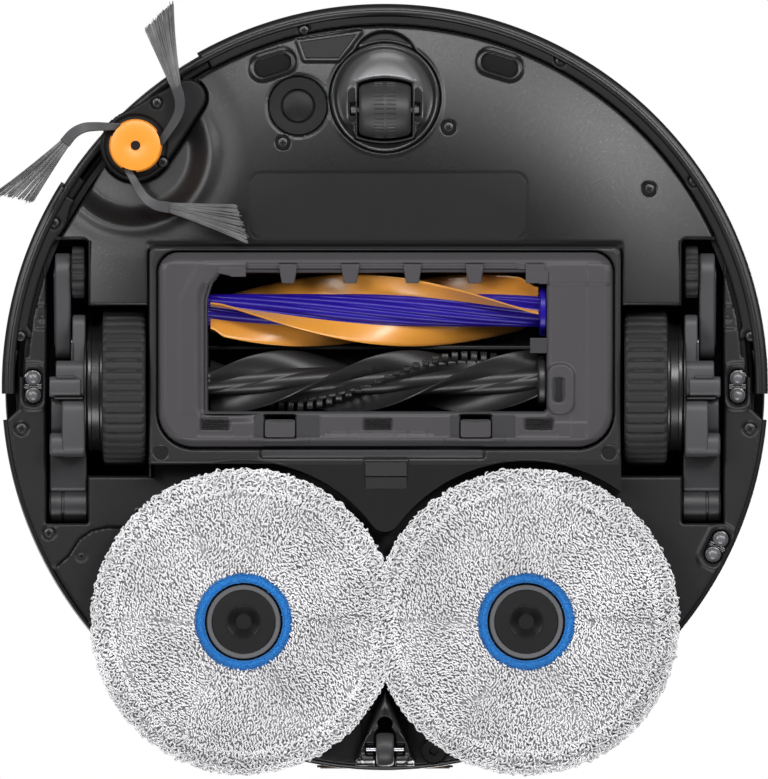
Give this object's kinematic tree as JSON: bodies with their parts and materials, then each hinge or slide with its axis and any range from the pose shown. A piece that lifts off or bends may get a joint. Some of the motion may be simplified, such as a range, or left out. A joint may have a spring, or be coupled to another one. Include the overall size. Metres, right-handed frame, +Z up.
{
  "type": "robot vacuum",
  "caption": "Round robot vacuum and mop: brush rollers, side brush on a swing arm, sprung drive wheels with climbing legs, spinning mop pads, caster, press-in bumper, lift-out bin and turret.",
  "frame": {"origin": "on the floor under the centre of the round body", "axes": "+Z up, +Y towards the front of the robot (its bumper and caster), +X to the robot's right"},
  "size_m": [0.3502, 0.3502, 0.0915],
  "materials": {
    "cover_plastic": "fine-grained moulded plastic",
    "deck_plastic": "fine-grained moulded plastic",
    "wall_plastic": "satin",
    "strip_rubber": "matt",
    "grey_plastic": "matt grey",
    "tread_rubber": "ribbed",
    "rim_plastic": "satin",
    "orange_plastic": "satin",
    "purple_plastic": "satin",
    "orange_rubber": "matt",
    "black_rubber": "matt",
    "bristle_nylon": "nylon bristles",
    "microfibre": "looped pile",
    "hub_plastic": "satin",
    "lens_plastic": "clear moulded lens",
    "steel": "turned",
    "contact_brass": "plated",
    "board_laminate": "circuit board",
    "smoke_plastic": "smoked"
  },
  "bodies": {
    "body": {"bottom_cover": "cover_plastic", "rear_deck": "deck_plastic", "rear_skirt": "wall_plastic", "chassis_frame": "deck_plastic", "top_cover": "wall_plastic", "brush_housing": "cover_plastic", "battery": "board_laminate", "main_board": "board_laminate", "suction_fan": "hub_plastic", "water_tank": "smoke_plastic", "roller_motor": "steel", "rear_wheel_bracket": "cover_plastic", "cliff_lens_right": "lens_plastic", "cliff_lens_left": "lens_plastic", "cliff_lens_rear": "lens_plastic", "carpet_sensor": "hub_plastic", "charge_contact_right": "contact_brass", "charge_contact_left": "contact_brass", "right_wheel_spring": "steel", "left_wheel_spring": "steel"},
    "bumper": {"bumper": "wall_plastic", "bumper_strip": "strip_rubber", "bumper_window": "smoke_plastic"},
    "lid": {"top_lid": "wall_plastic"},
    "bin": {"dust_box": "smoke_plastic"},
    "power_button": {"power_button": "hub_plastic"},
    "home_button": {"home_button": "hub_plastic"},
    "turret": {"lidar_housing": "wall_plastic"},
    "scanner": {"lidar_head": "hub_plastic"},
    "brush_cover": {"brush_cover": "grey_plastic"},
    "latch_right": {"cover_latch_right": "grey_plastic"},
    "latch_left": {"cover_latch_left": "grey_plastic"},
    "front_roller": {"front_roller_core": "purple_plastic", "front_roller_fins": "orange_rubber"},
    "rear_roller": {"rear_roller_core": "black_rubber", "rear_roller_fins": "black_rubber"},
    "caster": {"caster_dish": "rim_plastic", "caster_axle": "steel"},
    "caster_wheel": {"caster_wheel": "tread_rubber"},
    "rear_wheel": {"rear_wheel": "tread_rubber"},
    "side_arm": {"side_brush_arm": "deck_plastic"},
    "side_brush": {"side_brush_hub": "orange_plastic", "side_brush_sweeper": "bristle_nylon"},
    "left_mop_lift": {"left_mop_gearbox": "steel"},
    "left_mop": {"left_mop_pad": "microfibre", "left_mop_holder": "hub_plastic"},
    "right_mop_arm": {"right_mop_arm": "deck_plastic"},
    "right_mop_lift": {"right_mop_gearbox": "steel"},
    "right_mop": {"right_mop_pad": "microfibre", "right_mop_holder": "hub_plastic"},
    "left_module": {"left_gearbox": "grey_plastic"},
    "left_wheel": {"left_wheel_rim": "rim_plastic", "left_wheel_tyre": "tread_rubber"},
    "left_leg": {"left_leg_arm": "grey_plastic"},
    "left_leg_wheel": {"left_leg_wheel": "tread_rubber"},
    "right_module": {"right_gearbox": "grey_plastic"},
    "right_wheel": {"right_wheel_rim": "rim_plastic", "right_wheel_tyre": "tread_rubber"},
    "right_leg": {"right_leg_arm": "grey_plastic"},
    "right_leg_wheel": {"right_leg_wheel": "tread_rubber"}
  },
  "joints": [
    {"name": "bumper_press", "type": "slide", "parent": "body", "child": "bumper", "axis": [0, -1, 0], "range_m": [0, 0.003], "stiffness_N_per_m": 600},
    {"name": "lid_lift", "type": "slide", "parent": "body", "child": "lid", "axis": [0, 0, 1], "range_m": [0, 0.09]},
    {"name": "dust_box_lift", "type": "slide", "parent": "body", "child": "bin", "axis": [0, 0, 1], "range_m": [0, 0.045]},
    {"name": "power_button_press", "type": "slide", "parent": "body", "child": "power_button", "axis": [0, 0, -1], "range_m": [0, 0.0008], "stiffness_N_per_m": 500},
    {"name": "home_button_press", "type": "slide", "parent": "body", "child": "home_button", "axis": [0, 0, -1], "range_m": [0, 0.0008], "stiffness_N_per_m": 500},
    {"name": "turret_lift", "type": "slide", "parent": "body", "child": "turret", "axis": [0, 0, 1], "range_m": [0, 0.02]},
    {"name": "scanner_spin", "type": "hinge", "parent": "turret", "child": "scanner", "pos_m": [0, -0.068, 0.074], "axis": [0, 0, 1], "continuous": true},
    {"name": "brush_cover_release", "type": "slide", "parent": "body", "child": "brush_cover", "axis": [0, 0, -1], "range_m": [0, 0.03]},
    {"name": "right_latch_slide", "type": "slide", "parent": "brush_cover", "child": "latch_right", "axis": [0, 1, 0], "range_m": [0, 0.0018], "stiffness_N_per_m": 300},
    {"name": "left_latch_slide", "type": "slide", "parent": "brush_cover", "child": "latch_left", "axis": [0, 1, 0], "range_m": [0, 0.0018], "stiffness_N_per_m": 300},
    {"name": "front_roller_spin", "type": "hinge", "parent": "body", "child": "front_roller", "pos_m": [0.005, 0.035, 0.0178], "axis": [1, 0, 0], "continuous": true},
    {"name": "rear_roller_spin", "type": "hinge", "parent": "body", "child": "rear_roller", "pos_m": [0.005, 0.0025, 0.0166], "axis": [1, 0, 0], "continuous": true},
    {"name": "caster_swivel", "type": "hinge", "parent": "body", "child": "caster", "pos_m": [0, 0.1319, 0.018], "axis": [0, 0, 1], "continuous": true},
    {"name": "caster_wheel_spin", "type": "hinge", "parent": "caster", "child": "caster_wheel", "pos_m": [0, 0.1263, 0.013], "axis": [1, 0, 0], "continuous": true},
    {"name": "rear_wheel_spin", "type": "hinge", "parent": "body", "child": "rear_wheel", "pos_m": [0, -0.165, 0.0081], "axis": [1, 0, 0], "continuous": true},
    {"name": "side_brush_extend", "type": "hinge", "parent": "body", "child": "side_arm", "pos_m": [0.0885, 0.133, 0.02], "axis": [0, 0, 1], "range_deg": [0, 30]},
    {"name": "side_brush_spin", "type": "hinge", "parent": "side_arm", "child": "side_brush", "pos_m": [0.1136, 0.11, 0.012], "axis": [0, 0, 1], "continuous": true},
    {"name": "left_mop_raise", "type": "slide", "parent": "body", "child": "left_mop_lift", "axis": [0, 0, 1], "range_m": [0, 0.01]},
    {"name": "left_mop_spin", "type": "hinge", "parent": "left_mop_lift", "child": "left_mop", "pos_m": [-0.0643, -0.1068, 0.01], "axis": [0, 0, 1], "continuous": true},
    {"name": "right_mop_extend", "type": "hinge", "parent": "body", "child": "right_mop_arm", "pos_m": [0.1255, -0.077, 0.024], "axis": [0, 0, 1], "range_deg": [0, 20]},
    {"name": "right_mop_raise", "type": "slide", "parent": "right_mop_arm", "child": "right_mop_lift", "axis": [0, 0, 1], "range_m": [0, 0.01]},
    {"name": "right_mop_spin", "type": "hinge", "parent": "right_mop_lift", "child": "right_mop", "pos_m": [0.0643, -0.1068, 0.01], "axis": [0, 0, 1], "continuous": true},
    {"name": "left_wheel_drop", "type": "hinge", "parent": "body", "child": "left_module", "pos_m": [-0.12, -0.054, 0.0335], "axis": [-1, 0, 0], "range_deg": [0, 20], "stiffness_Nm_per_rad": 0.35, "springref_deg": 60.16},
    {"name": "left_wheel_spin", "type": "hinge", "parent": "left_module", "child": "left_wheel", "pos_m": [-0.12, 0, 0.036], "axis": [1, 0, 0], "continuous": true},
    {"name": "left_leg_swing", "type": "hinge", "parent": "left_module", "child": "left_leg", "pos_m": [-0.147, 0.02, 0.033], "axis": [-1, 0, 0], "range_deg": [0, 70]},
    {"name": "left_leg_wheel_spin", "type": "hinge", "parent": "left_leg", "child": "left_leg_wheel", "pos_m": [-0.14, 0.0525, 0.027], "axis": [1, 0, 0], "continuous": true},
    {"name": "right_wheel_drop", "type": "hinge", "parent": "body", "child": "right_module", "pos_m": [0.12, -0.054, 0.0335], "axis": [-1, 0, 0], "range_deg": [0, 20], "stiffness_Nm_per_rad": 0.35, "springref_deg": 60.16},
    {"name": "right_wheel_spin", "type": "hinge", "parent": "right_module", "child": "right_wheel", "pos_m": [0.12, 0, 0.036], "axis": [1, 0, 0], "continuous": true},
    {"name": "right_leg_swing", "type": "hinge", "parent": "right_module", "child": "right_leg", "pos_m": [0.147, 0.02, 0.033], "axis": [-1, 0, 0], "range_deg": [0, 70]},
    {"name": "right_leg_wheel_spin", "type": "hinge", "parent": "right_leg", "child": "right_leg_wheel", "pos_m": [0.14, 0.0525, 0.027], "axis": [1, 0, 0], "continuous": true}
  ],
  "couplings": [
    {"joint": "dust_box_lift", "follows": "lid_lift", "ratio": 0.5},
    {"joint": "rear_roller_spin", "follows": "front_roller_spin", "ratio": -1},
    {"joint": "right_mop_spin", "follows": "left_mop_spin", "ratio": -1}
  ]
}
